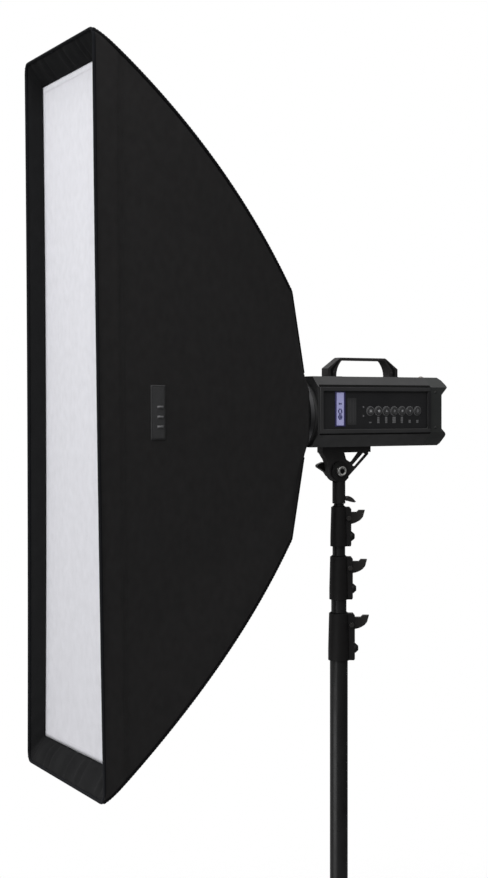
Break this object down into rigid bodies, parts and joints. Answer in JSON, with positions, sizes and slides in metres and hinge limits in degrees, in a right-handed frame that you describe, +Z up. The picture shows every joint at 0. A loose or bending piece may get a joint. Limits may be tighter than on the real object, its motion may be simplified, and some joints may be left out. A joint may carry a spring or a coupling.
{
  "type": "strip softbox on a flash head and light stand",
  "caption": "Strip softbox on a studio flash head, carried by a tilting bracket on a telescopic light stand with folding legs.",
  "frame": {"origin": "on the floor under the column's axis, with the legs spread", "axes": "+Z up along the column, -X the way the softbox shines, -Y the side of the head with the control panel"},
  "size_m": [1.178, 1.0312, 2.008],
  "materials": {
    "stand_black": "satin",
    "clamp_black": "matte",
    "lever_black": "satin",
    "foot_rubber": "matte",
    "bright_steel": "satin",
    "bracket_black": "satin",
    "head_shell": "matte",
    "panel_black": "satin",
    "display_lilac": "gloss",
    "button_black": "satin",
    "handle_black": "satin",
    "board_green": "satin",
    "capacitor_can": "satin",
    "clear_glass": "gloss",
    "frosted_glass": "satin",
    "eye_red": "gloss",
    "inlet_black": "satin",
    "fan_black": "satin",
    "ring_metal": "satin",
    "adapter_metal": "satin",
    "rod_grey": "satin",
    "cover_fabric": "matte",
    "webbing_black": "matte",
    "diffuser_fabric": "matte"
  },
  "bodies": {
    "stand": {"base_tube": "stand_black", "lower_spider": "clamp_black", "lower_clamp": "clamp_black"},
    "lower_lever": {"lower_clamp_lever": "lever_black"},
    "leg_hub": {"leg_collar": "clamp_black", "leg_pins": "bright_steel"},
    "hub_knob": {"leg_lock_knob": "lever_black"},
    "leg_1_body": {"leg_1": "stand_black", "foot_1": "foot_rubber"},
    "leg_2_body": {"leg_2": "stand_black", "foot_2": "foot_rubber"},
    "leg_3_body": {"leg_3": "stand_black", "foot_3": "foot_rubber"},
    "brace_1_body": {"brace_1": "stand_black"},
    "brace_2_body": {"brace_2": "stand_black"},
    "brace_3_body": {"brace_3": "stand_black"},
    "second_section": {"second_tube": "stand_black", "middle_clamp": "clamp_black"},
    "middle_lever": {"middle_clamp_lever": "lever_black"},
    "third_section": {"third_tube": "stand_black", "upper_clamp": "clamp_black"},
    "upper_lever": {"upper_clamp_lever": "lever_black"},
    "top_section": {"top_tube": "stand_black"},
    "bracket": {"bracket_socket": "bracket_black", "tilt_bolt": "bright_steel"},
    "bracket_lever": {"bracket_lock_lever": "lever_black"},
    "tilt_lever_body": {"tilt_lever": "lever_black"},
    "head": {"bracket_fork": "bracket_black", "main_housing": "head_shell", "front_collar": "head_shell", "rear_guard": "head_shell", "rear_panel": "head_shell", "control_panel": "panel_black", "display": "display_lilac", "circuit_board": "board_green", "handle": "handle_black", "mains_inlet": "inlet_black", "slave_eye": "eye_red", "flash_tube": "clear_glass", "modelling_lamp": "frosted_glass", "capacitors": "capacitor_can", "mount_adapter": "adapter_metal"},
    "switch_rocker": {"power_switch": "button_black"},
    "fan": {"fan_rotor": "fan_black"},
    "softbox": {"speedring": "ring_metal", "rods": "rod_grey", "corner_pockets": "webbing_black", "outer_cover": "cover_fabric", "rear_cuff": "cover_fabric", "front_lip": "cover_fabric", "front_diffuser": "diffuser_fabric", "inner_baffle": "diffuser_fabric"},
    "ring_screw": {"ring_lock_screw": "lever_black"},
    "button_1_key": {"button_1": "button_black"},
    "button_2_key": {"button_2": "button_black"},
    "button_3_key": {"button_3": "button_black"},
    "button_4_key": {"button_4": "button_black"},
    "button_5_key": {"button_5": "button_black"},
    "button_6_key": {"button_6": "button_black"},
    "button_7_key": {"button_7": "button_black"}
  },
  "joints": [
    {"name": "leg_fold", "type": "slide", "parent": "stand", "child": "leg_hub", "axis": [0, 0, 1], "range_m": [0, 0.2378]},
    {"name": "leg_1_swing", "type": "hinge", "parent": "leg_hub", "child": "leg_1_body", "pos_m": [0.035, 0, 0.4], "axis": [0, 1, 0], "range_deg": [0, 49.7]},
    {"name": "brace_1_swing", "type": "hinge", "parent": "stand", "child": "brace_1_body", "pos_m": [0.035, 0, 0.071], "axis": [0, 1, 0], "range_deg": [-49.7, 0]},
    {"name": "leg_2_swing", "type": "hinge", "parent": "leg_hub", "child": "leg_2_body", "pos_m": [-0.0175, 0.03031, 0.4], "axis": [-0.866, -0.5, 0], "range_deg": [0, 49.7]},
    {"name": "brace_2_swing", "type": "hinge", "parent": "stand", "child": "brace_2_body", "pos_m": [-0.0175, 0.03031, 0.071], "axis": [-0.866, -0.5, 0], "range_deg": [-49.7, 0]},
    {"name": "leg_3_swing", "type": "hinge", "parent": "leg_hub", "child": "leg_3_body", "pos_m": [-0.0175, -0.03031, 0.4], "axis": [0.866, -0.5, 0], "range_deg": [0, 49.7]},
    {"name": "brace_3_swing", "type": "hinge", "parent": "stand", "child": "brace_3_body", "pos_m": [-0.0175, -0.03031, 0.071], "axis": [0.866, -0.5, 0], "range_deg": [-49.7, 0]},
    {"name": "hub_knob_turn", "type": "hinge", "parent": "leg_hub", "child": "hub_knob", "pos_m": [0.015, 0.02598, 0.4], "axis": [0.5, 0.866, 0], "range_deg": [-360, 0]},
    {"name": "second_riser", "type": "slide", "parent": "stand", "child": "second_section", "axis": [0, 0, 1], "range_m": [0, 0.75]},
    {"name": "third_riser", "type": "slide", "parent": "second_section", "child": "third_section", "axis": [0, 0, 1], "range_m": [0, 0.75]},
    {"name": "top_riser", "type": "slide", "parent": "third_section", "child": "top_section", "axis": [0, 0, 1], "range_m": [0, 0.75]},
    {"name": "lower_lever_turn", "type": "hinge", "parent": "stand", "child": "lower_lever", "pos_m": [0.02165, -0.0125, 0.9535], "axis": [-0.5, -0.866, 0], "range_deg": [-60, 60]},
    {"name": "middle_lever_turn", "type": "hinge", "parent": "second_section", "child": "middle_lever", "pos_m": [0.01897, -0.01095, 1.0645], "axis": [-0.5, -0.866, 0], "range_deg": [-60, 60]},
    {"name": "upper_lever_turn", "type": "hinge", "parent": "third_section", "child": "upper_lever", "pos_m": [0.0168, -0.0097, 1.162], "axis": [-0.5, -0.866, 0], "range_deg": [-60, 60]},
    {"name": "bracket_pan", "type": "hinge", "parent": "top_section", "child": "bracket", "pos_m": [0, 0, 1.2], "axis": [0, 0, 1], "continuous": true},
    {"name": "bracket_lever_turn", "type": "hinge", "parent": "bracket", "child": "bracket_lever", "pos_m": [0.01299, -0.0075, 1.201], "axis": [0.866, -0.5, 0], "range_deg": [-90, 90]},
    {"name": "head_tilt", "type": "hinge", "parent": "bracket", "child": "head", "pos_m": [-0.005, 0, 1.255], "axis": [0, 1, 0], "range_deg": [-35, 45]},
    {"name": "tilt_lever_turn", "type": "hinge", "parent": "bracket", "child": "tilt_lever_body", "pos_m": [-0.005, 0.018, 1.255], "axis": [0, -1, 0], "range_deg": [0, 90]},
    {"name": "softbox_roll", "type": "hinge", "parent": "head", "child": "softbox", "pos_m": [-0.115, 0, 1.365], "axis": [1, 0, 0], "continuous": true},
    {"name": "ring_screw_turn", "type": "hinge", "parent": "softbox", "child": "ring_screw", "pos_m": [-0.106, 0.06578, 1.38894], "axis": [0, 0.9397, 0.342], "range_deg": [-360, 0]},
    {"name": "button_1_press", "type": "slide", "parent": "head", "child": "button_1_key", "axis": [0, 1, 0], "range_m": [0, 0.001], "stiffness_N_per_m": 300, "springref_m": -0.002},
    {"name": "button_2_press", "type": "slide", "parent": "head", "child": "button_2_key", "axis": [0, 1, 0], "range_m": [0, 0.001], "stiffness_N_per_m": 300, "springref_m": -0.002},
    {"name": "button_3_press", "type": "slide", "parent": "head", "child": "button_3_key", "axis": [0, 1, 0], "range_m": [0, 0.001], "stiffness_N_per_m": 300, "springref_m": -0.002},
    {"name": "button_4_press", "type": "slide", "parent": "head", "child": "button_4_key", "axis": [0, 1, 0], "range_m": [0, 0.001], "stiffness_N_per_m": 300, "springref_m": -0.002},
    {"name": "button_5_press", "type": "slide", "parent": "head", "child": "button_5_key", "axis": [0, 1, 0], "range_m": [0, 0.001], "stiffness_N_per_m": 300, "springref_m": -0.002},
    {"name": "button_6_press", "type": "slide", "parent": "head", "child": "button_6_key", "axis": [0, 1, 0], "range_m": [0, 0.001], "stiffness_N_per_m": 300, "springref_m": -0.002},
    {"name": "button_7_press", "type": "slide", "parent": "head", "child": "button_7_key", "axis": [0, 1, 0], "range_m": [0, 0.001], "stiffness_N_per_m": 300, "springref_m": -0.002},
    {"name": "power_switch_rock", "type": "hinge", "parent": "head", "child": "switch_rocker", "pos_m": [0.173, 0.026, 1.345], "axis": [0, -1, 0], "range_deg": [0, 16]},
    {"name": "fan_spin", "type": "hinge", "parent": "head", "child": "fan", "pos_m": [0.15, 0, 1.371], "axis": [1, 0, 0], "continuous": true}
  ],
  "couplings": [
    {"joint": "leg_1_swing", "follows": "leg_fold", "rad_per_m": 3.6458},
    {"joint": "brace_1_swing", "follows": "leg_fold", "rad_per_m": -3.6458},
    {"joint": "leg_2_swing", "follows": "leg_fold", "rad_per_m": 3.6458},
    {"joint": "brace_2_swing", "follows": "leg_fold", "rad_per_m": -3.6458},
    {"joint": "leg_3_swing", "follows": "leg_fold", "rad_per_m": 3.6458},
    {"joint": "brace_3_swing", "follows": "leg_fold", "rad_per_m": -3.6458}
  ]
}
